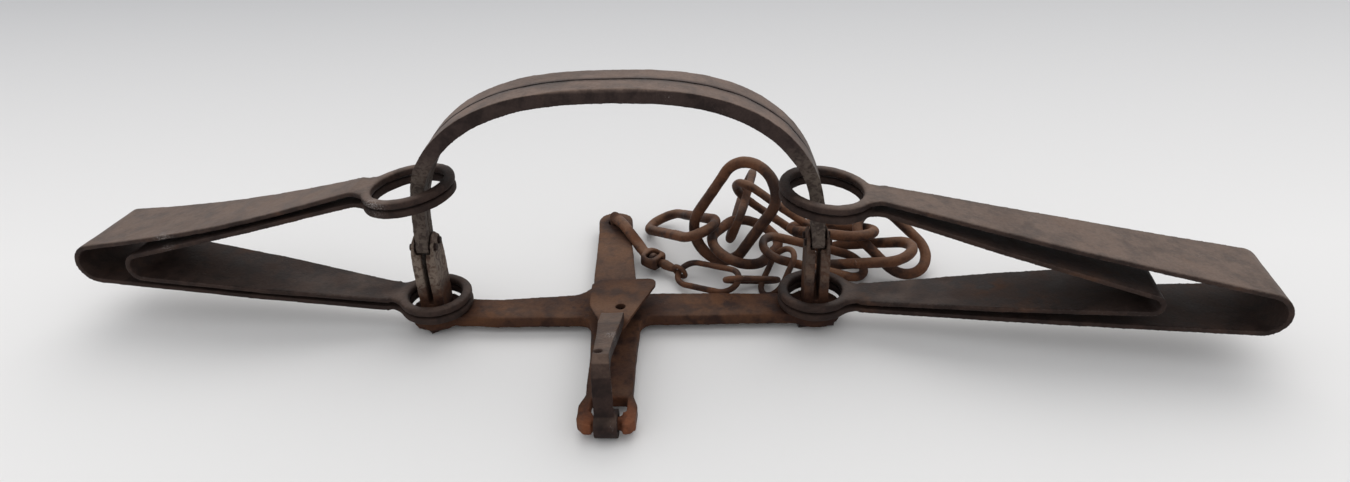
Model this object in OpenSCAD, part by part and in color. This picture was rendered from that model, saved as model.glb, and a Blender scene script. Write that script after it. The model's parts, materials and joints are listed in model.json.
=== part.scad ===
// Hand-forged spring trap with two long springs, jaws shut, its chain heaped behind the right post.
// Origin on the ground under the middle of the cross. X runs along the base bar, Y to the rear, Z up.
// Millimetres. The dog and the front arm point to -Y, the chain leaves the rear arm at +Y.

/* [Base cross] */
// Distance from the middle to each jaw post
post_x = 140; // [130:1:160]
// Height of the underside of the bars above the ground
bar_z = 5; // [4.8:0.1:6]
// Thickness of the bars
bar_t = 9.5; // [9:0.5:11]
// Width of the base bar
bar_w = 29; // [26:1:30]
// Radius of the round bosses at the ends of the base bar
boss_r = 20; // [18:1:22]
// Reach of the rear arm
rear_reach = 146; // [142:1:150]
// Reach of the front arm to the middle of its round bar
front_reach = 125; // [120:1:130]

/* [Posts] */
// Height of the jaw pins above the ground
pivot_z = 69; // [68:0.5:70]
// Height of the pointed cheeks
post_top = 77.5; // [77:0.5:80]
// Thickness of a cheek beside the fork's slot
cheek_t = 3.6; // [3.4:0.1:4.2]
// Width of the fork's slot
fork_gap = 10.8; // [10.8:0.1:11.2]
// Width of the slit under the fork's slot
slit = 3; // [2.5:0.5:3.5]
// Distance of each jaw pin from the middle plane
pin_y = 5.2; // [5:0.1:5.4]
// Radius of the jaw pins
pin_r = 2.5; // [2:0.1:2.6]

/* [Jaws] */
// Height of the bows above the jaw pins
bow_h = 121; // [115:1:125]
// Thickness of the bow seen from the front
bow_t = 10.5; // [9:0.5:12]
// Depth of each bow at the top
bow_d = 20; // [16:1:20]
// Squareness of the bow: 2 is an ellipse, more is squarer
bow_n = 2.6; // [2.3:0.1:3]

/* [Springs] */
// Left spring, post to the bend of its outer leaf
left_reach = 268; // [255:1:300]
// Right spring, post to the bend of its outer leaf
right_reach = 302; // [290:1:320]
// Post to the bend of the inner leaves
inner_reach = 226; // [226:1:228]
// Thickness of the leaves
leaf_t = 4.2; // [3.5:0.1:4.5]
// Width of a leaf at its widest, by the bend
leaf_w = 62; // [50:1:64]
// Width of a leaf at its neck, by the eye
neck_w = 25; // [22:1:28]
// Radius of the hole in an upper eye
eye_r = 25; // [25:0.1:25.5]
// Radius of the hole in a lower eye
foot_eye_r = 19; // [18.5:0.5:20]
// Thickness of an eye
eye_t = 6.5; // [6:0.1:6.5]
// How far the left spring points to the rear, in degrees
left_turn = 7.5; // [0:0.5:10]
// How far the right spring points to the front, in degrees
right_turn = 7.5; // [0:0.5:10]

/* [Dog and pan] */
// Width of the dog at its upper bend
dog_w = 11; // [10:0.5:12]
// Height of the pan's upper face
pan_z = 29; // [28:0.5:30]
// Thickness of the pan
pan_t = 3; // [2.5:0.5:3]

/* [Chain] */
// Radius of the wire of the heavy links
wire_r = 3.8; // [3.5:0.1:3.8]
// Radius of the wire of the thin links
thin_r = 2.5; // [2:0.1:2.5]
// Radius of the rod that joins the shackle pin to its collar
rod_wire = 4; // [3.5:0.1:4]

/* [Hidden] */
$fn = 64;
bar_top = bar_z + bar_t;
foot_z1 = bar_top + 0.3;              // underside of the outer leaf's lower eye
foot_z2 = foot_z1 + eye_t + 0.3;      // underside of the inner leaf's lower eye
foot_top = foot_z2 + eye_t;
ring_w = 8;                           // width of the ring of an eye
hinge_x = inner_reach - leaf_t;       // the spring's flexing line, from the post
rod_r = 4.75;                         // round front bar under the dog's eye
rod_z = bar_z + bar_t / 2;
split = 0.35;                         // gap where the flexing part of a leaf starts
tilt = 7;                             // tilt of the upper eyes at rest, in degrees
eye_x = 4;                            // the upper eyes sit this far toward the bend at rest
pan_pin_z = bar_top + 6.2;            // height of the pan's pin
pan_tenon_r = 4;                      // tenon of the pan post, riveted under the cross

// Left spring: eye top, bend centre height, bend radii of the outer and inner leaf, flexing height,
// and how far the upper strip is hollowed
left_spec = [118.4, 52.5, 16.5, 12, 52, 4.5];
// Right spring
right_spec = [111, 46, 16.5, 8.5, 48, 1];

shackle_y = rear_reach - 18;          // place of the shackle's pin on the rear arm
shackle_x = -18;
knob_z = 22;                          // height of the knob over the shackle pin
collar_at = [21, 69, 10];             // place of the collar that holds the swivel bolt
collar_turn = [0, 5, -36];            // its direction: X runs along the bolt

// Each link of the heap: place of its middle, then its roll, pitch and turn in degrees
// thin links, from the swivel
thin_1 = [[62, 42, 11], [19, 6, -31]];
thin_2 = [[96, 34, 13], [-34, -16, 23]];
thin_3 = [[116, 39, 17], [-25, 36, 58]];
// heavy links, in the order in which they are joined
heavy_1 = [[146, 61, 17], [6, -17, 1]];
heavy_2 = [[187, 67, 16], [1, 16, -24]];
heavy_3 = [[209, 73, 23], [-16, 30, 140]];
heavy_4 = [[163, 88, 26], [12, -13, 143]];
heavy_5 = [[118, 118, 29], [-127, 29, 159]];
heavy_6 = [[91, 130, 28], [69, 190, 78]];
heavy_7 = [[93, 85, 18], [17, -5, 62]];
heavy_8 = [[83, 72, 52], [71, 59, -14]];
heavy_9 = [[40, 107, 22], [13, 20, -59]];

// Shared shapes

// A bar along X from x0 to x1
module x_rod(x0, x1, r, y, z) {
  translate([x0, y, z]) rotate([0, 90, 0]) cylinder(h = x1 - x0, r = r);
}

// Cuts a profile drawn in (y, z) and spread along X
module yz_slab(points, x0, x1) {
  translate([x0, 0, 0]) rotate([90, 0, 90]) linear_extrude(x1 - x0) polygon(points);
}

// Cuts a profile drawn in (x, z) and spread along Y
module xz_slab(points, y0, y1) {
  translate([0, y1, 0]) rotate([90, 0, 0]) linear_extrude(y1 - y0) polygon(points);
}

// Quarter fillet in plan, its corner at the origin, filling +X +Y
module plan_fillet(r) {
  difference() {
    translate([-0.5, -0.5]) square(r + 0.5);
    translate([r, r]) circle(r);
  }
}

// Base cross

module base_cross() {
  w = bar_w / 2;
  color([0.36, 0.25, 0.18])
  difference() {
    union() {
      translate([0, 0, bar_z]) linear_extrude(bar_t) {
        // base bar, its left half beaten a little to the front
        polygon([[-post_x, 2 - w], [-95, -w - 2], [-30, -w - 2], [30, -w - 1], [95, -w], [post_x, -w],
          [post_x, w - 0.5], [95, w + 0.5], [30, w + 1.3], [-34, w + 0.5], [-95, w - 5], [-post_x, w - 2]]);
        for (s = [-1, 1]) translate([s * post_x, 0]) circle(boss_r);
        // rear arm, leaning a little to the left
        polygon([[-26, 0], [-26.5, 26], [-29, 70], [-31, 112], [-33, 130], [-3.5, 130], [-3, 112],
          [3.5, 60], [8, 26], [10, 0]]);
        translate([-18, rear_reach - 15]) circle(15);
        // front arm with its flared end
        polygon([[-24, 0], [-21.5, -34], [-19, -60], [-18, -88], [-17, -102], [-20.5, -113], [-20.5, -126],
          [-16, -131.5], [13, -131.5], [17.5, -127], [17.8, -113], [14, -101], [13.3, -62], [13.5, -34], [14, 0]]);
        // fillets in the four corners of the cross
        translate([9, w + 0.9]) plan_fillet(10);
        translate([-26.3, w]) mirror([1, 0]) plan_fillet(16);
        translate([13.8, -w - 1]) mirror([0, 1]) plan_fillet(9);
        translate([-22.8, -w - 1.8]) mirror([1, 0]) mirror([0, 1]) plan_fillet(10);
      }
      x_rod(-11, 9.5, rod_r, -front_reach, rod_z);
    }
    // slot behind the round front bar, and the room cut for the dog's eye
    translate([-12, -118.5, bar_z - 1]) cube([22.5, 13, bar_t + 2]);
    difference() {
      translate([-9.8, -134, bar_z - 1]) cube([18.1, 20, bar_t + 2]);
      x_rod(-11, 9.5, rod_r, -front_reach, rod_z);
    }
    // holes for the posts and for the shackle
    for (s = [-1, 1]) translate([s * post_x, 0, 0]) cylinder(h = 30, r = 5.5);
    translate([-18, rear_reach - 18, 0]) cylinder(h = 30, r = 5.5);
    // hole for the pan post's tenon
    cylinder(h = 30, r = pan_tenon_r + 0.05);
  }
}

// Posts

// A forked post standing at the origin, with its tenon and riveted foot
module post() {
  half = fork_gap / 2 + cheek_t;
  color([0.40, 0.33, 0.26])
  difference() {
    union() {
      intersection() {
        // seen from the front: two cheeks, drawn to points at the top
        xz_slab([[-half, bar_top], [-half, 56], [-half + 0.5, 72], [-fork_gap/2 - 1.4, post_top + 0.5],
          [fork_gap/2 + 1.4, post_top + 0.5], [half - 0.5, 72], [half, 56], [half, bar_top]], -15, 15);
        // seen from the side: pointed tops
        yz_slab([[-12, bar_top], [-12.5, 45], [-12, 66], [-9.5, 72], [-4, post_top], [4, post_top], [9.5, 72],
          [12, 66], [12.5, 45], [12, bar_top]], -20, 20);
      }
      cylinder(h = bar_top + 1, r = 5.45);
      cylinder(h = 2, r1 = 6, r2 = 8.5);
    }
    // slot between the cheeks, round-bottomed under each jaw's end
    difference() {
      translate([-fork_gap/2, -20, 40]) cube([fork_gap, 40, 60]);
      difference() {
        translate([-10, -20, 30]) cube([20, 40, pivot_z - 30]);
        for (s = [-1, 1]) x_rod(-12, 12, 5.6, s * pin_y, pivot_z);
        for (s = [-1, 1]) translate([-12, s * 30 - 20, pivot_z]) translate([0, 0, -5.6]) cube([24, 40 , 10]);
      }
    }
    // narrow slit down the middle of the post
    translate([-slit / 2, -20, 24]) cube([slit, 40, 60]);
    // pin holes
    for (s = [-1, 1]) x_rod(-20, 20, pin_r + 0.02, s * pin_y, pivot_z);
  }
}

module left_post() { translate([-post_x, 0, 0]) post(); }
module right_post() { translate([post_x, 0, 0]) post(); }

module washer(turn) {
  color([0.22, 0.18, 0.16])
  translate([0, 0, 2.2]) difference() {
    rotate([0, 0, turn]) translate([-13, -13, 0]) cube([26, 26, bar_z - 2.2]);
    translate([0, 0, -1]) cylinder(h = 6, r = 5.5);
  }
}
module left_washer() { translate([-post_x, 0, 0]) washer(40); }
module right_washer() { translate([post_x, 0, 0]) washer(4); }

module jaw_pin(x, y) {
  reach = fork_gap / 2 + cheek_t + 0.6;
  color([0.30, 0.25, 0.21]) x_rod(x - reach, x + reach, pin_r, y, pivot_z);
}
module left_front_pin() { jaw_pin(-post_x, -pin_y); }
module left_back_pin() { jaw_pin(-post_x, pin_y); }
module right_front_pin() { jaw_pin(post_x, -pin_y); }
module right_back_pin() { jaw_pin(post_x, pin_y); }

// Jaws

// Points of a bow: half width a, height h above the pins
function bow(a, h, steps) = [for (i = [0 : steps]) let (t = 180 * i / steps)
  [a * sign(cos(t)) * pow(abs(cos(t)), 2 / bow_n), pivot_z + h * pow(abs(sin(t)), 2 / bow_n)]];

module jaw() {
  a = post_x + 5;
  color([0.30, 0.27, 0.25])
  difference() {
    union() {
      intersection() {
        xz_slab(concat(bow(a, bow_h, 72), [for (p = [72 : -1 : 0]) bow(a - 10, bow_h - bow_t, 72)[p]]), -40, 0);
        // deep at the top, drawn down thin at the ends, where the spring's eye slides
        yz_slab([[-0.2, pivot_z - 1], [-8.2, pivot_z - 1], [-8.2, pivot_z + 34], [-10.8, pivot_z + 45],
          [-14.5, pivot_z + 53], [-bow_d, pivot_z + 68], [-bow_d, pivot_z + bow_h - 3],
          [-bow_d + 2, pivot_z + bow_h + 1], [-0.2, pivot_z + bow_h + 1]], -200, 200);
      }
      for (s = [-1, 1]) x_rod(s * post_x - 5, s * post_x + 5, 5, -pin_y, pivot_z);
    }
    for (s = [-1, 1]) x_rod(s * post_x - 8, s * post_x + 8, pin_r + 0.06, -pin_y, pivot_z);
  }
}
module front_jaw() { jaw(); }
module back_jaw() { mirror([0, 1, 0]) jaw(); }

// Springs

// Side view of a leaf arm from the eye to the bend, thickness t below the line p -> q, in (x, z)
function strip(line, t) = concat(line, [for (i = [len(line) - 1 : -1 : 0]) line[i] - [0, t]]);

// Plan of a leaf: a ring round the post, a neck, and a strip that widens to the bend
module leaf_plan(reach, ring, hole, cx) {
  difference() {
    union() {
      polygon([[cx + ring - 7, -neck_w/2 - 4], [cx + ring + 3, -neck_w/2], [cx + ring + 16, -neck_w/2 - 1],
        [reach * 0.55, -leaf_w * 0.37], [reach + 1, -leaf_w/2], [reach + 1, leaf_w/2],
        [reach * 0.55, leaf_w * 0.37], [cx + ring + 16, neck_w/2 + 1], [cx + ring + 3, neck_w/2],
        [cx + ring - 7, neck_w/2 + 4]]);
    }
    translate([cx, 0]) circle(hole);
  }
}

// An eye, tilted so that its far side is higher by tilt degrees
module eye(z, r, cx, tilt) {
  translate([cx, 0, z]) rotate([0, tilt, 0]) difference() {
    cylinder(h = eye_t, r = r + ring_w);
    translate([0, 0, -1]) cylinder(h = eye_t + 2, r = r);
  }
}
module eye_bore(z, r, cx, tilt) {
  translate([cx, 0, z]) rotate([0, tilt, 0]) translate([0, 0, -20]) cylinder(h = eye_t + 40, r = r);
}

// A round bend seen from the side: centre (x, z), outer radius r, from below (lower = true) or above
module bend(x, z, r, half) {
  translate([x, 50, z]) rotate([90, 0, 0]) linear_extrude(100) difference() {
    circle(r);
    circle(r - leaf_t);
    translate([-2 * r, -2 * r]) square([2 * r, 4 * r]);
    if (half == "upper") translate([-2 * r, -2 * r + split/2]) square([4 * r, 2 * r]);
    if (half == "lower") translate([-2 * r, -split/2]) square([4 * r, 2 * r]);
  }
}

// Outer leaf, the half that stays with the base: foot eye, lower strip, bend, and the stub above it
module outer_lower(reach, spec) {
  zb = spec[1]; r = spec[2];
  color([0.33, 0.28, 0.25])
  difference() {
    union() {
      intersection() {
        linear_extrude(200) leaf_plan(reach, foot_eye_r + ring_w, foot_eye_r, 0);
        union() {
          xz_slab(strip([[18, foot_z1 + leaf_t + 1], [40, foot_z1 + leaf_t + 1.5],
            [reach - r + 1, zb - r + leaf_t]], leaf_t), -60, 60);
          bend(reach - r, zb, r, "all");
          xz_slab(strip([upper_at(reach, spec, inner_reach + 0.2), [reach - r + 1, zb + r]], leaf_t), -60, 60);
        }
      }
      eye(foot_z1, foot_eye_r, 0, 0);
    }
    eye_bore(foot_z1, foot_eye_r, 0, 0);
  }
}

// Upper face of the outer leaf's upper strip at distance x, in (x, z)
function upper_at(reach, spec, x) =
  let (x0 = 44, z0 = spec[0] - 4, x1 = reach - spec[2], z1 = spec[1] + spec[2], u = (x - x0) / (x1 - x0))
  [x, z0 + (z1 - z0) * u - spec[5] * sin(180 * max(0, min(1, u)))];

// Outer leaf, the half that flexes: upper strip and its eye
module outer_upper(reach, spec) {
  color([0.33, 0.28, 0.25])
  difference() {
    union() {
      intersection() {
        linear_extrude(200) leaf_plan(reach, eye_r + ring_w, eye_r, eye_x);
        xz_slab(strip(concat([[eye_x + eye_r - 1, spec[0] - 4.1]],
          [for (x = [44 : 26 : 200]) upper_at(reach, spec, x)],
          [upper_at(reach, spec, inner_reach - 0.15)]), leaf_t), -60, 60);
      }
      eye(spec[0] - eye_t, eye_r, eye_x, tilt);
    }
    eye_bore(spec[0] - eye_t, eye_r, eye_x, tilt);
  }
}

// Inner leaf, lower half: foot eye on top of the outer leaf's, strip and the lower half of its bend
module inner_lower(reach, spec) {
  r = spec[3]; zh = spec[4];
  color([0.31, 0.25, 0.21])
  difference() {
    union() {
      intersection() {
        linear_extrude(200) leaf_plan(inner_reach, foot_eye_r + ring_w, foot_eye_r, 0);
        union() {
          xz_slab(strip([[18, foot_z2 + leaf_t + 1.2], [40, foot_z2 + leaf_t + 1.2],
            [inner_reach - r + 1, zh - r + leaf_t]], leaf_t), -60, 60);
          bend(inner_reach - r, zh, r, "lower");
        }
      }
      eye(foot_z2, foot_eye_r, 0, 0);
    }
    eye_bore(foot_z2, foot_eye_r, 0, 0);
  }
}

// Inner leaf, upper half: its eye lies under the outer leaf's eye
module inner_upper(reach, spec) {
  r = spec[3]; zh = spec[4];
  zi = spec[0] - 2 * eye_t - 0.3;
  color([0.31, 0.25, 0.21])
  difference() {
    union() {
      intersection() {
        linear_extrude(200) leaf_plan(inner_reach, eye_r + ring_w, eye_r, eye_x);
        union() {
          xz_slab(strip([[eye_x + eye_r - 1, zi + leaf_t - 2.2], [44, zi + leaf_t - 3.6],
            [inner_reach - r + 1, zh + r]], leaf_t), -60, 60);
          bend(inner_reach - r, zh, r, "upper");
        }
      }
      eye(zi, eye_r, eye_x, tilt);
    }
    eye_bore(zi, eye_r, eye_x, tilt);
  }
}

module at_left() { translate([-post_x, 0, 0]) rotate([0, 0, 180 - left_turn]) children(); }
module at_right() { translate([post_x, 0, 0]) rotate([0, 0, -right_turn]) children(); }

module left_outer_leaf_lower() { at_left() outer_lower(left_reach, left_spec); }
module left_inner_leaf_lower() { at_left() inner_lower(left_reach, left_spec); }
module left_outer_leaf_upper() { at_left() outer_upper(left_reach, left_spec); }
module left_inner_leaf_upper() { at_left() inner_upper(left_reach, left_spec); }
module right_outer_leaf_lower() { at_right() outer_lower(right_reach, right_spec); }
module right_inner_leaf_lower() { at_right() inner_lower(right_reach, right_spec); }
module right_outer_leaf_upper() { at_right() outer_upper(right_reach, right_spec); }
module right_inner_leaf_upper() { at_right() inner_upper(right_reach, right_spec); }

// Dog and pan

module dog() {
  color([0.30, 0.25, 0.22])
  difference() {
    union() {
      x_rod(-9, 6.5, 9.5, -front_reach, rod_z);
      intersection() {
        // seen from the side: up from the eye, then back and down to the pan
        yz_slab([[-129.5, rod_z + 5], [-129, 28], [-126.5, 46], [-122, 54.5], [-116, 57.5], [-80, 48],
          [-45, pan_z + 9], [-41, pan_z + 7], [-39.5, pan_z + 0.3], [-47, pan_z + 0.3], [-80, 37.5], [-110, 47.5],
          [-115.5, 46], [-118, 38], [-119.5, 26], [-120, rod_z + 6]], -20, 20);
        // seen from above: narrow at the bend, wider as it nears the pan
        translate([0, 0, -5]) linear_extrude(100)
          polygon([[-9, -140], [6.5, -140], [dog_w - 8, -117], [dog_w - 7.8, -90], [4.6, -60], [4.6, -38],
            [-11.5, -38], [-11.5, -60], [-9, -90], [-8, -117]]);
      }
    }
    x_rod(-20, 20, rod_r + 0.05, -front_reach, rod_z);
  }
}

// Small post between the pan's ears, its tenon riveted under the middle of the cross
module pan_post() {
  color([0.33, 0.25, 0.19])
  difference() {
    union() {
      translate([-5, -5, bar_top]) cube([10, 10, 6.2]);
      x_rod(-5, 5, 4.6, 0, pan_pin_z);
      cylinder(h = bar_top + 1, r = pan_tenon_r);
      cylinder(h = bar_z, r1 = 6.5, r2 = 9);
    }
    x_rod(-20, 20, 2.02, 0, pan_pin_z);
  }
}
module pan_pin() { color([0.25, 0.2, 0.17]) x_rod(-10, 10, 2, 0, pan_pin_z); }
module pan() {
  color([0.37, 0.28, 0.21])
  difference() {
    union() {
      translate([0, 0, pan_z - pan_t]) linear_extrude(pan_t) {
        polygon([[-19, -30], [-23, -20], [-24, 6], [-18, 13], [16, 14], [22, 11], [24, 5], [14, -22],
          [8.5, -38], [4.5, -50], [-4, -51], [-11, -45], [-15, -38]]);
        translate([18, 8]) circle(6);
      }
      // ears on both sides of the post
      for (s = [-1, 1]) translate([s * 7.2 - 1.8, -4.4, pan_pin_z]) cube([3.6, 8.8, pan_z - pan_t - pan_pin_z + 0.5]);
      for (s = [-1, 1]) x_rod(s * 7.2 - 1.8, s * 7.2 + 1.8, 4.4, 0, pan_pin_z);
    }
    x_rod(-20, 20, 2.06, 0, pan_pin_z);
    translate([0, -23.5, 0]) cylinder(h = 60, r = 3.2);
  }
}

// Chain

// A round rod from point p to point q
module rod_between(p, q, r) {
  v = q - p;
  translate(p) rotate([0, acos(v[2] / norm(v)), atan2(v[1], v[0])]) cylinder(h = norm(v), r = r);
}

// Shackle: riveted pin through the rear arm, bent rod, and the collar that the swivel bolt turns in
module shackle() {
  knob = [shackle_x, shackle_y, knob_z];
  elbow = [4, 93, 19.5];
  collar_back = [12.5, 75.2, 11];
  color([0.37, 0.27, 0.21])
  difference() {
    union() {
      // pin with its riveted head below and its knob above, turned in one piece
      translate([shackle_x, shackle_y, 0]) rotate_extrude()
        polygon([[0, 0], [6, 0], [8, bar_z - 0.3], [5.45, bar_z - 0.3], [5.45, 16], [4.8, 16.6], [6.2, 18.3],
          [7, 20.7], [7, 23.3], [6.2, 25.5], [4.6, 27.2], [2.4, 28], [0, 28]]);
      // the rod, bent once past the edge of the arm
      rod_between(knob, elbow + [0.5, -0.8, 0], rod_wire);
      rod_between(elbow + [-0.4, 0.8, 0.4], collar_back, rod_wire - 0.15);
      translate(collar_at) rotate(collar_turn) translate([-13, -10.5, -5.5]) cube([17, 21, 11]);
    }
    // room for the bolt's head, and the bolt's hole
    translate(collar_at) rotate(collar_turn) {
      translate([-8, -6, -10]) cube([6.5, 12, 20]);
      x_rod(-6, 8, 3.55, 0, 0);
    }
  }
}

// Swivel bolt: head inside the collar, shank, and the eye that the first thin link hangs in
module swivel_bolt() {
  color([0.33, 0.25, 0.2])
  translate(collar_at) rotate(collar_turn) {
    x_rod(-7, -1.8, 5.2, 0, 0);
    x_rod(-3, 18, 3.5, 0, 0);
    translate([23, 0, 0]) rotate([20, 0, 0]) rotate([90, 0, 0]) rotate_extrude() translate([5.3, 0]) circle(1.9);
  }
}

// A long link, its wire along X in two straight runs with a half round at each end
module wire_link(place, length, width, wire) {
  bend_r = width / 2 - wire;
  run = (length - width) / 2;
  color([0.38, 0.27, 0.21])
  translate(place[0]) rotate([place[1][0], -place[1][1], place[1][2]]) {
    for (s = [-1, 1]) x_rod(-run, run, wire, s * bend_r, 0);
    for (s = [-1, 1]) translate([s * run, 0, 0]) rotate([0, 0, -90 * s])
      rotate_extrude(angle = 180) translate([bend_r, 0]) circle(wire);
  }
}
module thin_link_1() { wire_link(thin_1, 58, 29, thin_r); }
module thin_link_2() { wire_link(thin_2, 48, 26, thin_r); }
module thin_link_3() { wire_link(thin_3, 46, 28, thin_r); }
module heavy_link_1() { wire_link(heavy_1, 92, 38, wire_r); }
module heavy_link_2() { wire_link(heavy_2, 84, 40, wire_r); }
module heavy_link_3() { wire_link(heavy_3, 70, 46, wire_r); }
module heavy_link_4() { wire_link(heavy_4, 80, 38, wire_r); }
module heavy_link_5() { wire_link(heavy_5, 84, 38, wire_r); }
module heavy_link_6() { wire_link(heavy_6, 84, 40, wire_r); }
module heavy_link_7() { wire_link(heavy_7, 76, 54, wire_r); }
module heavy_link_8() { wire_link(heavy_8, 100, 56, wire_r + 0.2); }
module heavy_link_9() { wire_link(heavy_9, 98, 38, wire_r); }

base_cross();
left_post();
right_post();
left_washer();
right_washer();
left_front_pin();
left_back_pin();
right_front_pin();
right_back_pin();
front_jaw();
back_jaw();
left_outer_leaf_lower();
left_inner_leaf_lower();
left_outer_leaf_upper();
left_inner_leaf_upper();
right_outer_leaf_lower();
right_inner_leaf_lower();
right_outer_leaf_upper();
right_inner_leaf_upper();
dog();
pan_post();
pan_pin();
pan();
shackle();
swivel_bolt();
thin_link_1();
thin_link_2();
thin_link_3();
heavy_link_1();
heavy_link_2();
heavy_link_3();
heavy_link_4();
heavy_link_5();
heavy_link_6();
heavy_link_7();
heavy_link_8();
heavy_link_9();
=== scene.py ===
"""Looks of the hand-forged spring trap: worn, rusty iron on a plain pale floor."""
import json
import math

import bmesh
import bpy
import numpy
from mathutils import Euler, Matrix, Vector
from mathutils.bvhtree import BVHTree


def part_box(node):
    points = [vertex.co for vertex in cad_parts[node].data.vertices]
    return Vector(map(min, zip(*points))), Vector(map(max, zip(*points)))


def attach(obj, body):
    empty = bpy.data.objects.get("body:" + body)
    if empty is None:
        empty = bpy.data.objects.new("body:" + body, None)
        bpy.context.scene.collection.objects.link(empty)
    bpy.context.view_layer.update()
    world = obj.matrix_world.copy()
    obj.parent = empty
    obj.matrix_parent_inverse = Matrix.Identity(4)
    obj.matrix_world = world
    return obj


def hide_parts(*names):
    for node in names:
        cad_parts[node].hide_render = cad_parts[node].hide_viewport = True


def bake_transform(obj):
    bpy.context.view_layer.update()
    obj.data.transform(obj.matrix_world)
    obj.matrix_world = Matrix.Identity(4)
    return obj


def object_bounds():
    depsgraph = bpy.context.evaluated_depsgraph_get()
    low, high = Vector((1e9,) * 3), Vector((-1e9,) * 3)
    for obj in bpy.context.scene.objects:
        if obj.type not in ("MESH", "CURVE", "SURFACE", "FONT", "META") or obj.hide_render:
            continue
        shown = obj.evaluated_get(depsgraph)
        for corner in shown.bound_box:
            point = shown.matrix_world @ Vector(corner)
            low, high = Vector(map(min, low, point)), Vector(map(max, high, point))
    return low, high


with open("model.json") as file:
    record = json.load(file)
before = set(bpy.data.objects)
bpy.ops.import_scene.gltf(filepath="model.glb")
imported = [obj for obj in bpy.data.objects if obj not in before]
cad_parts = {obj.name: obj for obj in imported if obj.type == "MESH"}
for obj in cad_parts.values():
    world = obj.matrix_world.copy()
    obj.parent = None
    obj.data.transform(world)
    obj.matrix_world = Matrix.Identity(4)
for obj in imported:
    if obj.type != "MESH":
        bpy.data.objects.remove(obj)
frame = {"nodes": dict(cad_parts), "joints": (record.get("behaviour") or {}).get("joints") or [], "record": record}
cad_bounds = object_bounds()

MM = 0.001
NODES = frame["nodes"]
BODY_OF = {node: body for body, nodes in frame["record"]["behaviour"]["bodies"].items() for node in nodes}
JOINTS = {joint["name"]: joint for joint in frame["joints"]}
POSTS = [Vector(JOINTS[side + "_spring_swing"]["pos_m"]) for side in ("left", "right")]

# The photograph's camera
IMAGE_WIDTH = 1350
FOCAL_PIXELS = 883.1
CAMERA_PLACE = Vector((0.067, -0.543, 0.3822))
CAMERA_PITCH = math.radians(30.0)
CAMERA_YAW = math.radians(-2.9)
CAMERA_ROLL = math.radians(2.2)
SENSOR_WIDTH = 36.0


def add_camera():
    """A camera at the photograph's place and angle."""
    forward = Vector((math.sin(CAMERA_YAW) * math.cos(CAMERA_PITCH),
                      math.cos(CAMERA_YAW) * math.cos(CAMERA_PITCH),
                      -math.sin(CAMERA_PITCH)))
    level = Vector((math.cos(CAMERA_YAW), -math.sin(CAMERA_YAW), 0))
    down = forward.cross(level)
    right = math.cos(CAMERA_ROLL) * level + math.sin(CAMERA_ROLL) * down
    down = -math.sin(CAMERA_ROLL) * level + math.cos(CAMERA_ROLL) * down
    data = bpy.data.cameras.new("camera")
    data.sensor_fit = "HORIZONTAL"
    data.sensor_width = SENSOR_WIDTH
    data.lens = SENSOR_WIDTH * FOCAL_PIXELS / IMAGE_WIDTH
    data.clip_start = 0.01
    camera = bpy.data.objects.new("camera", data)
    bpy.context.scene.collection.objects.link(camera)
    axes = Matrix((right, -down, -forward)).transposed().to_4x4()
    camera.matrix_world = Matrix.Translation(CAMERA_PLACE) @ axes
    bpy.context.scene.camera = camera


def add_lights():
    """Even daylight from a pale room, and a very broad soft light from above and behind."""
    world = bpy.data.worlds.new("room")
    bpy.context.scene.world = world
    world.use_nodes = True
    background = world.node_tree.nodes["Background"]
    background.inputs["Color"].default_value = (0.98, 0.99, 1.0, 1)
    background.inputs["Strength"].default_value = 0.86
    lamp = bpy.data.lights.new("window", "SUN")
    lamp.energy = 0.85
    lamp.angle = math.radians(60)
    lamp.color = (1.0, 0.985, 0.965)
    window = bpy.data.objects.new("window", lamp)
    bpy.context.scene.collection.objects.link(window)
    window.rotation_euler = Vector((-0.12, -0.62, -0.78)).to_track_quat("-Z", "Y").to_euler()


def node_maker(tree):
    """Returns two helpers: one that adds a node, and one that links two sockets."""
    def add(kind, **values):
        node = tree.nodes.new(kind)
        for name, value in values.items():
            if hasattr(node, name):
                setattr(node, name, value)
            else:
                node.inputs[name.replace("_", " ")].default_value = value
        return node
    return add, tree.links.new


def add_floor():
    """A plain pale floor, with painted shade that makes it a little darker far behind, as a backdrop sweep is where
    less light reaches it.
    """
    bpy.ops.mesh.primitive_plane_add(size=12)
    floor = bpy.context.object
    floor.name = "floor"
    material = bpy.data.materials.new("floor")
    material.use_nodes = True
    add, link = node_maker(material.node_tree)
    shader = material.node_tree.nodes["Principled BSDF"]
    shader.inputs["Roughness"].default_value = 0.75
    shader.inputs["Specular IOR Level"].default_value = 0.2
    place = add("ShaderNodeTexCoord")
    split = add("ShaderNodeSeparateXYZ")
    ramp = add("ShaderNodeValToRGB")
    far = add("ShaderNodeMapRange", From_Min=0.10, From_Max=1.0)
    # Painted shade: the floor's colour darkens from near to far
    ramp.color_ramp.elements[0].color = (0.80, 0.79, 0.785, 1)
    ramp.color_ramp.elements[1].color = (0.50, 0.50, 0.51, 1)
    link(place.outputs["Object"], split.inputs[0])
    link(split.outputs["Y"], far.inputs["Value"])
    link(far.outputs["Result"], ramp.inputs["Fac"])
    link(ramp.outputs["Color"], shader.inputs["Base Color"])
    floor.data.materials.append(material)


RUBBED_IRON = (0.205, 0.165, 0.134)
FRESH_RUST = (0.200, 0.070, 0.033)
BARE_IRON = (0.50, 0.47, 0.45)


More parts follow.
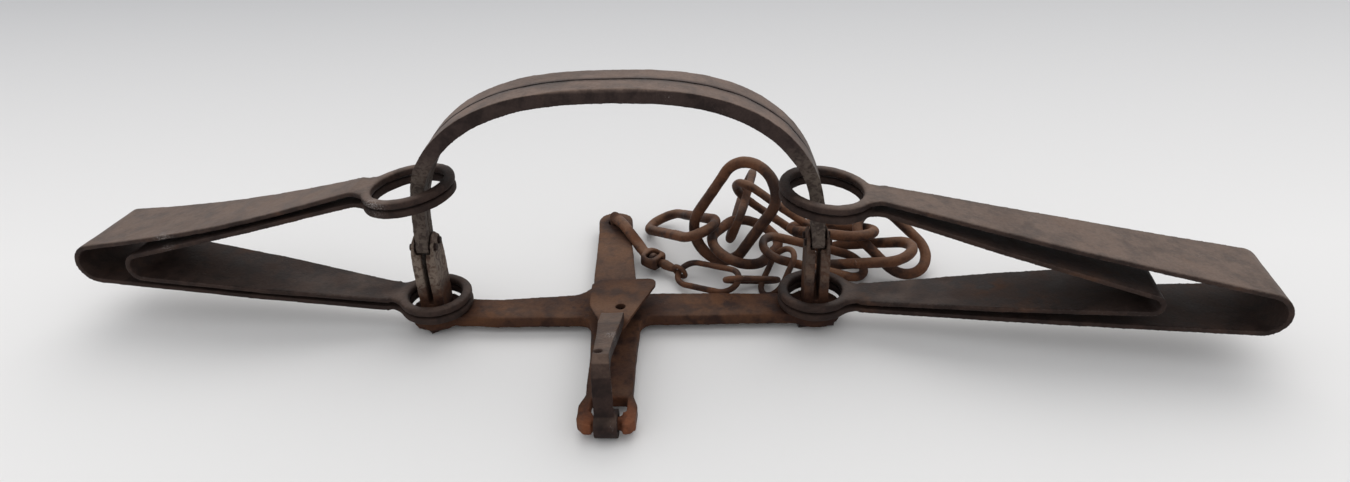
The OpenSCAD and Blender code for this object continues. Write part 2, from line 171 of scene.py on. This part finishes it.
def iron(name, dark, brown, rust, dust_and_sheen, rust_from=0.48, rust_to=0.66, worn=(0.20, 0.17, 0.15),
         gloss=0.2, rough=(0.42, 0.62), seed=0.0, bump=0.25):
    """Forged iron: dark scale, brown oxide, patches of rust, worn edges, and what a piece's marks say, with dust and
    painted sheen on upward faces and painted shade where little sky shows.
    """
    material = bpy.data.materials.new(name)
    material.use_nodes = True
    tree = material.node_tree
    add, link = node_maker(tree)
    shader = tree.nodes["Principled BSDF"]
    shader.inputs["Specular IOR Level"].default_value = gloss
    place = add("ShaderNodeTexCoord")
    shift = add("ShaderNodeMapping")
    shift.inputs["Location"].default_value = (seed, seed * 1.7, -seed)
    link(place.outputs["Object"], shift.inputs["Vector"])
    where = shift.outputs["Vector"]

    def noise(scale, detail, roughness=0.55, distortion=0.0):
        node = add("ShaderNodeTexNoise", Scale=scale, Detail=detail, Roughness=roughness, Distortion=distortion)
        link(where, node.inputs["Vector"])
        return node.outputs["Fac"]

    def ramped(value, low, high, start=0.0, end=1.0):
        node = add("ShaderNodeMapRange", interpolation_type="SMOOTHSTEP", From_Min=low, From_Max=high,
                   To_Min=start, To_Max=end)
        link(value, node.inputs["Value"])
        return node.outputs["Result"]

    def mixed(factor, first, second, blend="MIX"):
        node = add("ShaderNodeMix", data_type="RGBA", blend_type=blend)
        if isinstance(factor, float):
            node.inputs[0].default_value = factor
        else:
            link(factor, node.inputs[0])
        for socket, value in ((node.inputs[6], first), (node.inputs[7], second)):
            if isinstance(value, tuple):
                socket.default_value = (*value, 1)
            else:
                link(value, socket)
        return node.outputs[2]

    def maths(operation, first, second):
        node = add("ShaderNodeMath", operation=operation)
        for socket, value in zip(node.inputs, (first, second)):
            if isinstance(value, (int, float)):
                socket.default_value = value
            else:
                link(value, socket)
        return node.outputs[0]

    patches = noise(16, 7, 0.62, 0.4)
    blotches = noise(70, 6, 0.6, 0.2)
    grain = noise(520, 4, 0.6)
    streaks = noise(230, 3, 0.5, 1.2)
    geometry = add("ShaderNodeNewGeometry")
    raised = ramped(geometry.outputs["Pointiness"], 0.515, 0.60)
    sunk = ramped(geometry.outputs["Pointiness"], 0.49, 0.42)
    sky = add("ShaderNodeAttribute", attribute_name="sky").outputs["Fac"]
    top = add("ShaderNodeAttribute", attribute_name="top").outputs["Fac"]
    rub = add("ShaderNodeAttribute", attribute_name="rub").outputs["Fac"]
    fresh = add("ShaderNodeAttribute", attribute_name="fresh").outputs["Fac"]
    scored = add("ShaderNodeAttribute", attribute_name="scored").outputs["Fac"]

    colour = mixed(ramped(blotches, 0.38, 0.60), dark, brown)
    rusty = maths("MULTIPLY", ramped(patches, rust_from, rust_to), ramped(blotches, 0.36, 0.56))
    rusty = maths("MAXIMUM", rusty, maths("MULTIPLY", sunk, 0.55))
    colour = mixed(rusty, colour, rust)
    # Dust and painted sheen: upward faces that see the sky get a lighter colour, partly dust and partly painted light
    # on the tops
    dust_and_sheen_share = maths("MULTIPLY", top, ramped(blotches, 0.30, 0.62, 0.55, 1.0))
    dust_and_sheen_share = maths("MULTIPLY", dust_and_sheen_share, ramped(patches, 0.34, 0.60, 0.70, 1.0))
    colour = mixed(maths("MULTIPLY", dust_and_sheen_share, 0.9), colour, dust_and_sheen)
    colour = mixed(maths("MULTIPLY", rub, ramped(streaks, 0.34, 0.60, 0.25, 0.9)), colour, RUBBED_IRON)
    colour = mixed(maths("MULTIPLY", fresh, ramped(blotches, 0.30, 0.55, 0.35, 0.9)), colour, FRESH_RUST)
    wear = maths("MULTIPLY", maths("MULTIPLY", raised, ramped(streaks, 0.38, 0.60)), sky)
    colour = mixed(maths("MULTIPLY", wear, 0.7), colour, worn)
    scratch = maths("MULTIPLY", ramped(noise(880, 2, 0.5, 2.0), 0.66, 0.72), ramped(noise(24, 2), 0.60, 0.68))
    colour = mixed(maths("MULTIPLY", maths("MULTIPLY", scratch, sky), 0.55), colour, (0.42, 0.38, 0.36))
    lines = ramped(noise(640, 2, 0.5, 2.5), 0.55, 0.62)
    colour = mixed(maths("MULTIPLY", maths("MULTIPLY", scored, lines), 0.8), colour, BARE_IRON)
    # Painted shade: the colour goes toward the dark scale where a point sees little sky, in creases and under other
    # parts
    colour = mixed(ramped(sky, 0.05, 0.75, 0.45, 0.0), colour, dark)
    speck = add("ShaderNodeValToRGB")
    speck.color_ramp.elements[0].position = 0.33
    speck.color_ramp.elements[0].color = (0.70, 0.68, 0.67, 1)
    speck.color_ramp.elements[1].position = 0.62
    speck.color_ramp.elements[1].color = (1.08, 1.08, 1.07, 1)
    link(grain, speck.inputs["Fac"])
    colour = mixed(0.5, colour, speck.outputs["Color"], "MULTIPLY")
    link(colour, shader.inputs["Base Color"])

    spread = add("ShaderNodeMapRange", From_Min=0.3, From_Max=0.7, To_Min=rough[0], To_Max=rough[1])
    link(blotches, spread.inputs["Value"])
    roughness = maths("ADD", spread.outputs["Result"], maths("MULTIPLY", rusty, 0.16))
    roughness = maths("SUBTRACT", roughness, maths("MULTIPLY", wear, 0.10))
    roughness = maths("ADD", roughness, ramped(sky, 0.1, 0.8, 0.2, 0.0))
    link(roughness, shader.inputs["Roughness"])

    pits = add("ShaderNodeTexVoronoi", feature="F1", Scale=340.0, Randomness=1.0)
    link(where, pits.inputs["Vector"])
    pitted = ramped(pits.outputs["Distance"], 0.05, 0.42)
    height = maths("ADD", maths("MULTIPLY", grain, 0.45), maths("MULTIPLY", streaks, 0.5))
    height = maths("ADD", height, maths("MULTIPLY", pitted, 0.30))
    relief = add("ShaderNodeBump", Strength=bump, Distance=0.0011)
    link(height, relief.inputs["Height"])
    link(relief.outputs["Normal"], shader.inputs["Normal"])
    return material


def make_materials():
    """One iron for each of the record's slots."""
    return {
        "base_iron": iron("base_iron", (0.027, 0.013, 0.010), (0.052, 0.025, 0.017), (0.100, 0.045, 0.023),
                          (0.152, 0.084, 0.053), rust_from=0.43, rust_to=0.66, worn=(0.17, 0.12, 0.09), gloss=0.07,
                          seed=3.1),
        "dark_iron": iron("dark_iron", (0.016, 0.010, 0.009), (0.032, 0.019, 0.016), (0.070, 0.034, 0.021),
                          (0.160, 0.108, 0.083), rust_from=0.50, rust_to=0.70, worn=(0.20, 0.17, 0.15), gloss=0.09,
                          seed=5.7),
        "jaw_iron": iron("jaw_iron", (0.019, 0.012, 0.011), (0.038, 0.025, 0.022), (0.070, 0.037, 0.025),
                         (0.205, 0.145, 0.118), rust_from=0.56, rust_to=0.76, worn=(0.24, 0.21, 0.185), gloss=0.10,
                         seed=8.2),
        "spring_steel": iron("spring_steel", (0.021, 0.013, 0.011), (0.042, 0.026, 0.021), (0.085, 0.042, 0.025),
                             (0.176, 0.126, 0.102), rust_from=0.52, rust_to=0.74, worn=(0.20, 0.175, 0.16), gloss=0.11,
                             seed=1.4),
        "chain_iron": iron("chain_iron", (0.032, 0.016, 0.012), (0.070, 0.032, 0.019), (0.136, 0.058, 0.030),
                           (0.182, 0.099, 0.061), rust_from=0.40, rust_to=0.60, worn=(0.20, 0.145, 0.11), gloss=0.14,
                           seed=6.5),
    }


SLOT_OF = {part["node"]: part["material_slot"] for part in frame["record"]["subparts"]}
MATERIALS = make_materials()

# Hammer marks and pitting, cut into the surface only, so nothing grows past its CAD size
LUMPS = bpy.data.textures.new("lumps", "CLOUDS")
LUMPS.noise_scale = 0.016
LUMPS.noise_depth = 2
PITS = bpy.data.textures.new("pits", "CLOUDS")
PITS.noise_scale = 0.0042
PITS.noise_depth = 3


def applied(piece):
    """The piece's mesh with its modifiers in it."""
    shape = bpy.data.meshes.new_from_object(piece.evaluated_get(bpy.context.evaluated_depsgraph_get()))
    piece.modifiers.clear()
    piece.data = shape
    return piece


def joined_copy(name, nodes, extra=()):
    """A new object with copies of the CAD nodes' meshes, and extra blocks given by their eight corners."""
    mesh = bmesh.new()
    for node in nodes:
        mesh.from_mesh(NODES[node].data)
    bmesh.ops.remove_doubles(mesh, verts=mesh.verts, dist=1e-6)
    for corners in extra:
        verts = [mesh.verts.new(corner) for corner in corners]
        for face in ((0, 3, 2, 1), (4, 5, 6, 7), (0, 1, 5, 4), (1, 2, 6, 5), (2, 3, 7, 6), (3, 0, 4, 7)):
            mesh.faces.new([verts[i] for i in face])
    data = bpy.data.meshes.new(name)
    mesh.to_mesh(data)
    mesh.free()
    piece = bpy.data.objects.new(name, data)
    bpy.context.scene.collection.objects.link(piece)
    return piece


# Turns a piece away from the remesher's grid, so that its long edges don't come out stepped
OBLIQUE = Euler((0.62, 0.53, 0.74)).to_matrix().to_4x4()


def forged(piece, voxel, lumps=0.45, pits=0.16, smoothing=3, growth=0.0):
    """Softens the edges and works the surface over as hammering, rust and wear do, growth of it outward."""
    piece.data.transform(OBLIQUE)
    guide = bpy.data.objects.new("guide", piece.data.copy())
    bpy.context.scene.collection.objects.link(guide)
    remesh = piece.modifiers.new("remesh", "REMESH")
    remesh.mode = "VOXEL"
    remesh.voxel_size = voxel * MM
    settle = piece.modifiers.new("settle", "SHRINKWRAP")
    settle.target = guide
    settle.wrap_method = "NEAREST_SURFACEPOINT"
    smooth = piece.modifiers.new("smooth", "SMOOTH")
    smooth.iterations = smoothing
    for texture, depth in ((LUMPS, lumps), (PITS, pits)):
        press = piece.modifiers.new(texture.name, "DISPLACE")
        press.texture = texture
        press.texture_coords = "LOCAL"
        press.strength = depth * MM
        press.mid_level = 1.0 - growth
    applied(piece)
    piece.data.transform(OBLIQUE.inverted())
    bpy.data.objects.remove(guide)
    for polygon in piece.data.polygons:
        polygon.use_smooth = True
    return piece


def worn_round(piece, middle, reach, passes):
    """Wears a part of the piece round: smooths the points within reach of the middle."""
    mesh = bmesh.new()
    mesh.from_mesh(piece.data)
    near = [vert for vert in mesh.verts if (vert.co - middle).length < reach]
    for _ in range(passes):
        bmesh.ops.smooth_vert(mesh, verts=near, factor=0.5, use_axis_x=True, use_axis_y=True, use_axis_z=True)
    mesh.to_mesh(piece.data)
    mesh.free()


def dented(piece, place, reach, depth):
    """Presses a round dent into the piece's upper face."""
    for vert in piece.data.vertices:
        part = (vert.co - place).length / reach
        if part < 1:
            vert.co.z -= depth * (1 - part * part)


# The dent by the dog's upper bend
DOG_DENT = Vector((-0.0047, -0.1112, 0.0562))


def solids_tree():
    """All the CAD solids at rest, to cast rays at."""
    points, faces = [], []
    for node in NODES.values():
        first = len(points)
        points.extend(vert.co.copy() for vert in node.data.vertices)
        faces.extend([first + i for i in polygon.vertices] for polygon in node.data.polygons)
    return BVHTree.FromPolygons(points, faces)


SOLIDS = solids_tree()
RAY_REACH = 0.25


def ring_of_rays(count, slope):
    """Rays evenly round the vertical, at the given angle from it."""
    turns = [(i + slope) * math.tau / count for i in range(count)]
    return [Vector((math.sin(slope) * math.cos(turn), math.sin(slope) * math.sin(turn), math.cos(slope)))
            for turn in turns]


SKY_RAYS = [Vector((0, 0, 1))] + ring_of_rays(5, 0.6) + ring_of_rays(6, 1.1)
SKY_WHOLE = sum(ray.z for ray in SKY_RAYS)


# How clean the eyes have rubbed the iron where they slide, and how far from a post's middle that reaches
RUBBED = {"left_post": 0.9, "right_post": 0.35, "front_jaw": 0.65, "back_jaw": 0.65}
RUB_REACH = (0.030, 0.050)
RUB_FROM = 0.030
RUB_TO = 0.150

# Places with fresh scratches, and how far they reach
SCORED = ((Vector((-0.331, -0.001, 0.075)), 0.010), (Vector((-0.161, -0.028, 0.116)), 0.013),
          (Vector((0.003, -0.085, 0.050)), 0.009))

# Fresh rust round the bar that the dog swings on
FRESH = {"base_cross": Vector(JOINTS["dog_swing"]["pos_m"])}
FRESH_REACH = (0.013, 0.024)


def evened(piece, values, passes):
    """The values, spread a little way along the mesh."""
    pairs = numpy.array([edge.vertices[:] for edge in piece.data.edges])
    one, other = pairs[:, 0], pairs[:, 1]
    size = len(values)
    count = numpy.bincount(one, minlength=size) + numpy.bincount(other, minlength=size)
    values = numpy.array(values)
    for _ in range(passes):
        nearby = numpy.bincount(one, values[other], size) + numpy.bincount(other, values[one], size)
        values = (values + nearby) / (1 + count)
    return values


def clipped(value, low, high):
    """0 at low, 1 at high, and even between them."""
    return min(1.0, max(0.0, (value - low) / (high - low)))


def sky_seen(piece):
    """The share of the sky that each point sees past the CAD solids."""
    seen = []
    for vert in piece.data.vertices:
        start = vert.co + vert.normal * (2.2 * MM)
        open_rays = [ray for ray in SKY_RAYS if SOLIDS.ray_cast(start, ray, RAY_REACH)[0] is None]
        seen.append(sum(ray.z for ray in open_rays) / SKY_WHOLE)
    return evened(piece, seen, 60)


def rubbed_by_eyes(place, node):
    """How clean the eyes have rubbed this point."""
    away = min((place.xy - post.xy).length for post in POSTS)
    near = clipped(away, RUB_REACH[1], RUB_REACH[0])
    within = clipped(place.z, RUB_FROM, RUB_FROM * 1.5) * clipped(place.z, RUB_TO, RUB_TO * 0.8)
    return RUBBED.get(node, 0) * near * within


def mark_weather_and_light(piece, node):
    """Stores how much of each kind of weathering every point has, and the sky and upward shares that paint shade and
    sheen.
    """
    places = [vert.co for vert in piece.data.vertices]
    sky = sky_seen(piece)
    levels = [clipped(vert.normal.z, 0.25, 0.85) for vert in piece.data.vertices]
    rust_middle = FRESH.get(node)
    marks = {
        # sky paints shade where it is low; top marks upward faces for dust and painted sheen
        "sky": sky,
        "top": [level * level * (3 - 2 * level) * clipped(seen, 0.58, 0.94) for level, seen in zip(levels, sky)],
        "rub": [rubbed_by_eyes(place, node) for place in places],
        "fresh": [clipped((place - rust_middle).length, FRESH_REACH[1], FRESH_REACH[0]) if rust_middle else 0.0
                  for place in places],
        "scored": [max(clipped((place - middle).length, reach, 0.0) for middle, reach in SCORED) for place in places],
    }
    for name, values in marks.items():
        piece.data.attributes.new(name, "FLOAT", "POINT").data.foreach_set("value", values)


def finished(piece, node):
    """Gives the piece its weather marks, its masks of painted shade and sheen, and the material slot of the CAD node.
    """
    mark_weather_and_light(piece, node)
    piece.data.materials.clear()
    piece.data.materials.append(MATERIALS[SLOT_OF[node]])
    return piece


def reworked(node, voxel, dents=(), **kind):
    """A forged copy of one CAD node, riding where the node does."""
    piece = forged(joined_copy(node + "_forged", [node]), voxel, **kind)
    for dent in dents:
        dented(piece, *dent)
    finished(piece, node)
    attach(piece, BODY_OF[node])
    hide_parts(node)
    return piece


def outermost_nodes():
    """The nodes that reach the sides of the whole object's box."""
    low, high = cad_bounds
    reach = 1.5 * MM
    return {name for name in NODES
            if any(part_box(name)[0][i] < low[i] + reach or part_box(name)[1][i] > high[i] - reach for i in range(3))}


OUTERMOST = outermost_nodes()


def swept(mesh, points, radii, sides=14):
    """Adds a closed tube along the points, with a radius at each of them."""
    rings = []
    across = Vector((1, 0, 0))
    for i, point in enumerate(points):
        ahead = (points[min(i + 1, len(points) - 1)] - points[max(i - 1, 0)]).normalized()
        across = (across - ahead * across.dot(ahead)).normalized()
        other = ahead.cross(across)
        rings.append([mesh.verts.new(point + radii[i] * (across * math.cos(turn) + other * math.sin(turn)))
                      for turn in [j * math.tau / sides for j in range(sides)]])
    for first, second in zip(rings, rings[1:]):
        for j in range(sides):
            mesh.faces.new([first[j], first[(j + 1) % sides], second[(j + 1) % sides], second[j]])
    mesh.faces.new(list(reversed(rings[0])))
    mesh.faces.new(rings[-1])


def rounded_path(corners, steps=6):
    """A smooth path through the corners."""
    path = []
    ends = [corners[0]] + list(corners) + [corners[-1]]
    for a, b, c, d in zip(ends, ends[1:], ends[2:], ends[3:]):
        for i in range(steps):
            t = i / steps
            path.append(0.5 * (2 * b + (c - a) * t + (2 * a - 5 * b + 4 * c - d) * t * t
                               + (3 * b - a - 3 * c + d) * t * t * t))
    return path + [corners[-1]]


def new_piece(name, mesh):
    """An object that holds the mesh."""
    data = bpy.data.meshes.new(name)
    mesh.to_mesh(data)
    mesh.free()
    piece = bpy.data.objects.new(name, data)
    bpy.context.scene.collection.objects.link(piece)
    return piece


def chamfered(mesh, middle, cuts):
    """Cuts flats off a mesh: each cut is a direction and a distance from the middle."""
    for direction, distance in cuts:
        normal = direction.normalized()
        everything = list(mesh.verts) + list(mesh.edges) + list(mesh.faces)
        bmesh.ops.bisect_plane(mesh, geom=everything, plane_co=middle + normal * distance, plane_no=normal,
                               clear_outer=True, dist=1e-7)
        bmesh.ops.holes_fill(mesh, edges=[edge for edge in mesh.edges if edge.is_boundary], sides=0)


def make_shackle():
    """The shackle: a rod bent over out of the arm's hole, down to a rounded collar."""
    pin = Vector(JOINTS["shackle_swing"]["pos_m"])
    collar = Vector(JOINTS["swivel_spin"]["pos_m"])
    along = Vector(JOINTS["swivel_spin"]["axis"]).normalized()
    back = collar - along * (10.5 * MM)
    arm_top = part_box("base_cross")[1].z
    mesh = bmesh.new()
    mesh.from_mesh(NODES["shackle"].data)
    bmesh.ops.remove_doubles(mesh, verts=mesh.verts, dist=1e-6)
    side = along.cross(Vector((0, 0, 1))).normalized()
    up = side.cross(along)
    middle = collar - along * (4.3 * MM)
    cuts = [(-along, 8.2 * MM)]
    cuts += [(along * x + side * y, 10.4 * MM) for x in (-1, 1) for y in (-1, 1)]
    cuts += [(side * y + up * z, 9.2 * MM) for y in (-1, 1) for z in (-1, 1)]
    chamfered(mesh, middle, cuts)
    low = Vector((pin.x, pin.y, 0))
    swept(mesh, [low + Vector((0, 0, z * MM)) for z in (0.3, 4.4)], [6.2 * MM, 7.6 * MM])
    swept(mesh, [low + Vector((0, 0, z * MM)) for z in (3, 10)] + [low + Vector((0, 0, arm_top + 4 * MM))],
          [4.8 * MM] * 3)
    out = Vector((back.x - pin.x, back.y - pin.y, 0)).normalized()
    lying = Vector((pin.x, pin.y, arm_top + 4.6 * MM))
    path = rounded_path([lying - out * (3.5 * MM), lying + out * (7 * MM), lying + out * (21 * MM), back])
    swept(mesh, path, [3.6 * MM, 4.4 * MM] + [4.7 * MM] * (len(path) - 2))
    piece = forged(new_piece("shackle_rod", mesh), 0.6, lumps=0.7, pits=0.2, smoothing=5, growth=0.4)
    worn_round(piece, middle, 17 * MM, 45)
    finished(piece, "shackle")
    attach(piece, BODY_OF["shackle"])
    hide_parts("shackle")


def make_swivel():
    """The swivel bolt: its head in the collar, a stout shank, and a thick eye."""
    place = Vector(JOINTS["swivel_spin"]["pos_m"])
    along = Vector(JOINTS["swivel_spin"]["axis"]).normalized()
    side = along.cross(Vector((0, 0, 1))).normalized()
    up = side.cross(along)
    mesh = bmesh.new()
    stations = ((-6.8, 4.6), (-6.0, 5.1), (-2.6, 5.1), (-1.9, 4.4), (-1.7, 3.4), (4.6, 3.4), (5.4, 4.0), (8.5, 4.3),
                (13.0, 3.9), (17.8, 3.0))
    swept(mesh, [place + along * (x * MM) for x, radius in stations], [radius * MM for x, radius in stations])
    tilt = math.radians(20)
    flat = side * math.sin(tilt) + up * math.cos(tilt)
    middle = place + along * (23 * MM)
    turns = [i * math.tau / 24 for i in range(25)]
    swept(mesh, [middle + 5.6 * MM * (along * math.cos(turn) + flat * math.sin(turn)) for turn in turns],
          [2.15 * MM] * len(turns), 12)
    piece = forged(new_piece("swivel_bolt_forged", mesh), 0.45, lumps=0.3, pits=0.15, smoothing=4)
    finished(piece, "swivel_bolt")
    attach(piece, BODY_OF["swivel_bolt"])
    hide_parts("swivel_bolt")


# A spring leaf is cut in two this far from its post, in metres
SEAM = 0.215


def leaf_frame(side):
    """The post's place and the spring's heading, taken from its joints."""
    post = Vector(JOINTS[side + "_spring_swing"]["pos_m"])
    hinge = Vector(JOINTS[side + "_spring_press"]["pos_m"])
    post.z = 0
    heading = Vector((hinge.x - post.x, hinge.y - post.y, 0))
    return post, heading.normalized(), hinge, heading.length


def split_leaf(piece, post, heading, seam_z):
    """Cuts a leaf in two across its lower strip, into its lower half and the rest."""
    seam = post + heading * SEAM
    halves = []
    for keep_lower in (True, False):
        mesh = bmesh.new()
        mesh.from_mesh(piece.data)
        near = [face for face in mesh.faces
                if face.calc_center_median().z < seam_z
                and abs((face.calc_center_median() - seam).dot(heading)) < 0.004]
        parts = list({vert for face in near for vert in face.verts} | {edge for face in near for edge in face.edges})
        bmesh.ops.bisect_plane(mesh, geom=near + parts, plane_co=seam, plane_no=heading, dist=1e-7)
        unwanted = []
        for face in mesh.faces:
            middle = face.calc_center_median()
            is_lower = middle.z < seam_z and (middle - seam).dot(heading) < 0
            if is_lower != keep_lower:
                unwanted.append(face)
        bmesh.ops.delete(mesh, geom=unwanted, context="FACES")
        rim = [edge for edge in mesh.edges if edge.is_boundary]
        for edge in rim:
            edge.smooth = False
        bmesh.ops.holes_fill(mesh, edges=rim, sides=0)
        data = bpy.data.meshes.new(piece.name)
        mesh.to_mesh(data)
        mesh.free()
        halves.append(data)
    return halves


def bridge_box(post, heading, reach, z_low, z_high, half_width):
    """Corners of a block that joins the two halves of a leaf across the gap at its flexing line."""
    across = Vector((-heading.y, heading.x, 0))
    corners = []
    for z in (z_low, z_high):
        for along, side in ((-1.4, -1), (1.4, -1), (1.4, 1), (-1.4, 1)):
            point = post + heading * (reach + along * MM) + across * (side * half_width)
            corners.append(Vector((point.x, point.y, z)))
    return corners


def strip_section(node, post, heading, reach, above):
    """Lowest and highest point and half width of a leaf near a given reach, above a given height."""
    near = [vert.co for vert in NODES[node].data.vertices
            if vert.co.z > above and abs((vert.co - post).dot(heading) - reach) < 0.002]
    across = Vector((-heading.y, heading.x, 0))
    return (min(p.z for p in near), max(p.z for p in near),
            max(abs((p - post).dot(across)) for p in near))


# The ring of an eye lies within this distance of its middle
EYE_REACH = 34.5 * MM


def eye_middle(node, post, heading):
    """The middle of a leaf's eye, from the points of its ring beyond the post."""
    beyond = [vert.co for vert in NODES[node].data.vertices if (vert.co - post).dot(heading) < 0]
    across = Vector((-heading.y, heading.x, 0))
    half = max(abs((p - post).dot(across)) for p in beyond)
    near_end = min((p - post).dot(heading) for p in beyond)
    height = (min(p.z for p in beyond) + max(p.z for p in beyond)) / 2
    middle = post + heading * (near_end + half)
    return Vector((middle.x, middle.y, height))


def make_leaf(side, leaf):
    """One spring leaf: a still lower strip, and a bend and upper strip as a separate piece."""
    post, heading, hinge, hinge_reach = leaf_frame(side)
    lower, upper = f"{side}_{leaf}_leaf_lower", f"{side}_{leaf}_leaf_upper"
    body, top_body = BODY_OF[lower], BODY_OF[upper]
    extra = []
    if leaf == "outer":
        reach = hinge_reach + 4.2 * MM
        low, high, half = strip_section(upper, post, heading, reach, hinge.z)
        extra = [bridge_box(post, heading, reach, low + 0.3 * MM, high - 0.3 * MM, half - 0.4 * MM)]
    else:
        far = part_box(lower)[1].z
        across = Vector((-heading.y, heading.x, 0))
        tip = [vert.co for vert in NODES[upper].data.vertices if vert.co.z < far + 0.6 * MM]
        outer = max((p - post).dot(heading) for p in tip)
        inner = min((p - post).dot(heading) for p in tip)
        half = max(abs((p - post).dot(across)) for p in tip)
        corners = []
        for z in (far - 1.2 * MM, far + 1.5 * MM):
            for along, turn in ((inner + 0.3 * MM, -1), (outer - 0.3 * MM, -1), (outer - 0.3 * MM, 1),
                                (inner + 0.3 * MM, 1)):
                point = post + heading * along + across * (turn * (half - 0.4 * MM))
                corners.append(Vector((point.x, point.y, z)))
        extra = [corners]
    whole = forged(joined_copy(f"{side}_{leaf}_leaf", [lower, upper], extra), 0.95, smoothing=4)
    for node in (lower, upper):
        eye = eye_middle(node, post, heading)
        worn_round(whole, eye, EYE_REACH, 24)
    still, flexing = split_leaf(whole, post, heading, hinge.z)
    whole.data = still
    whole.name = f"{side}_{leaf}_leaf_foot"
    finished(whole, lower)
    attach(whole, body)
    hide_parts(lower)
    blade = bpy.data.objects.new(f"{side}_{leaf}_leaf_blade", flexing)
    bpy.context.scene.collection.objects.link(blade)
    finished(blade, upper)
    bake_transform(blade)
    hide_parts(upper)


def dress_rest():
    """Every CAD node that nothing replaces gets its material."""
    for name, node in NODES.items():
        if node.hide_render:
            continue
        node.data.materials.clear()
        node.data.materials.append(MATERIALS[SLOT_OF[name]])
        for polygon in node.data.polygons:
            polygon.material_index = 0


add_camera()
add_lights()
add_floor()
reworked("base_cross", 0.98, lumps=0.7, smoothing=11)
for jaw in ("front_jaw", "back_jaw"):
    reworked(jaw, 0.8, lumps=0.8, smoothing=6)
for post in ("left_post", "right_post"):
    reworked(post, 0.6, lumps=0.6, smoothing=16)
reworked("dog", 0.5, lumps=0.6, smoothing=8, dents=[(DOG_DENT, 3.2 * MM, 2.6 * MM)])
reworked("pan", 0.55, lumps=0.6, smoothing=8)
for spring_side in ("left", "right"):
    for leaf_name in ("outer", "inner"):
        make_leaf(spring_side, leaf_name)
make_shackle()
make_swivel()
for chain_node in sorted(NODES):
    if chain_node.startswith("thin_link"):
        reworked(chain_node, 0.5, lumps=0.5, pits=0.15, smoothing=2, growth=0.3)
    if chain_node.startswith("heavy_link"):
        grown = 0.3 if chain_node in OUTERMOST else 0.85
        reworked(chain_node, 0.65, lumps=1.0, pits=0.2, smoothing=2, growth=grown)
dress_rest()

bpy.context.scene.view_settings.view_transform = "Standard"
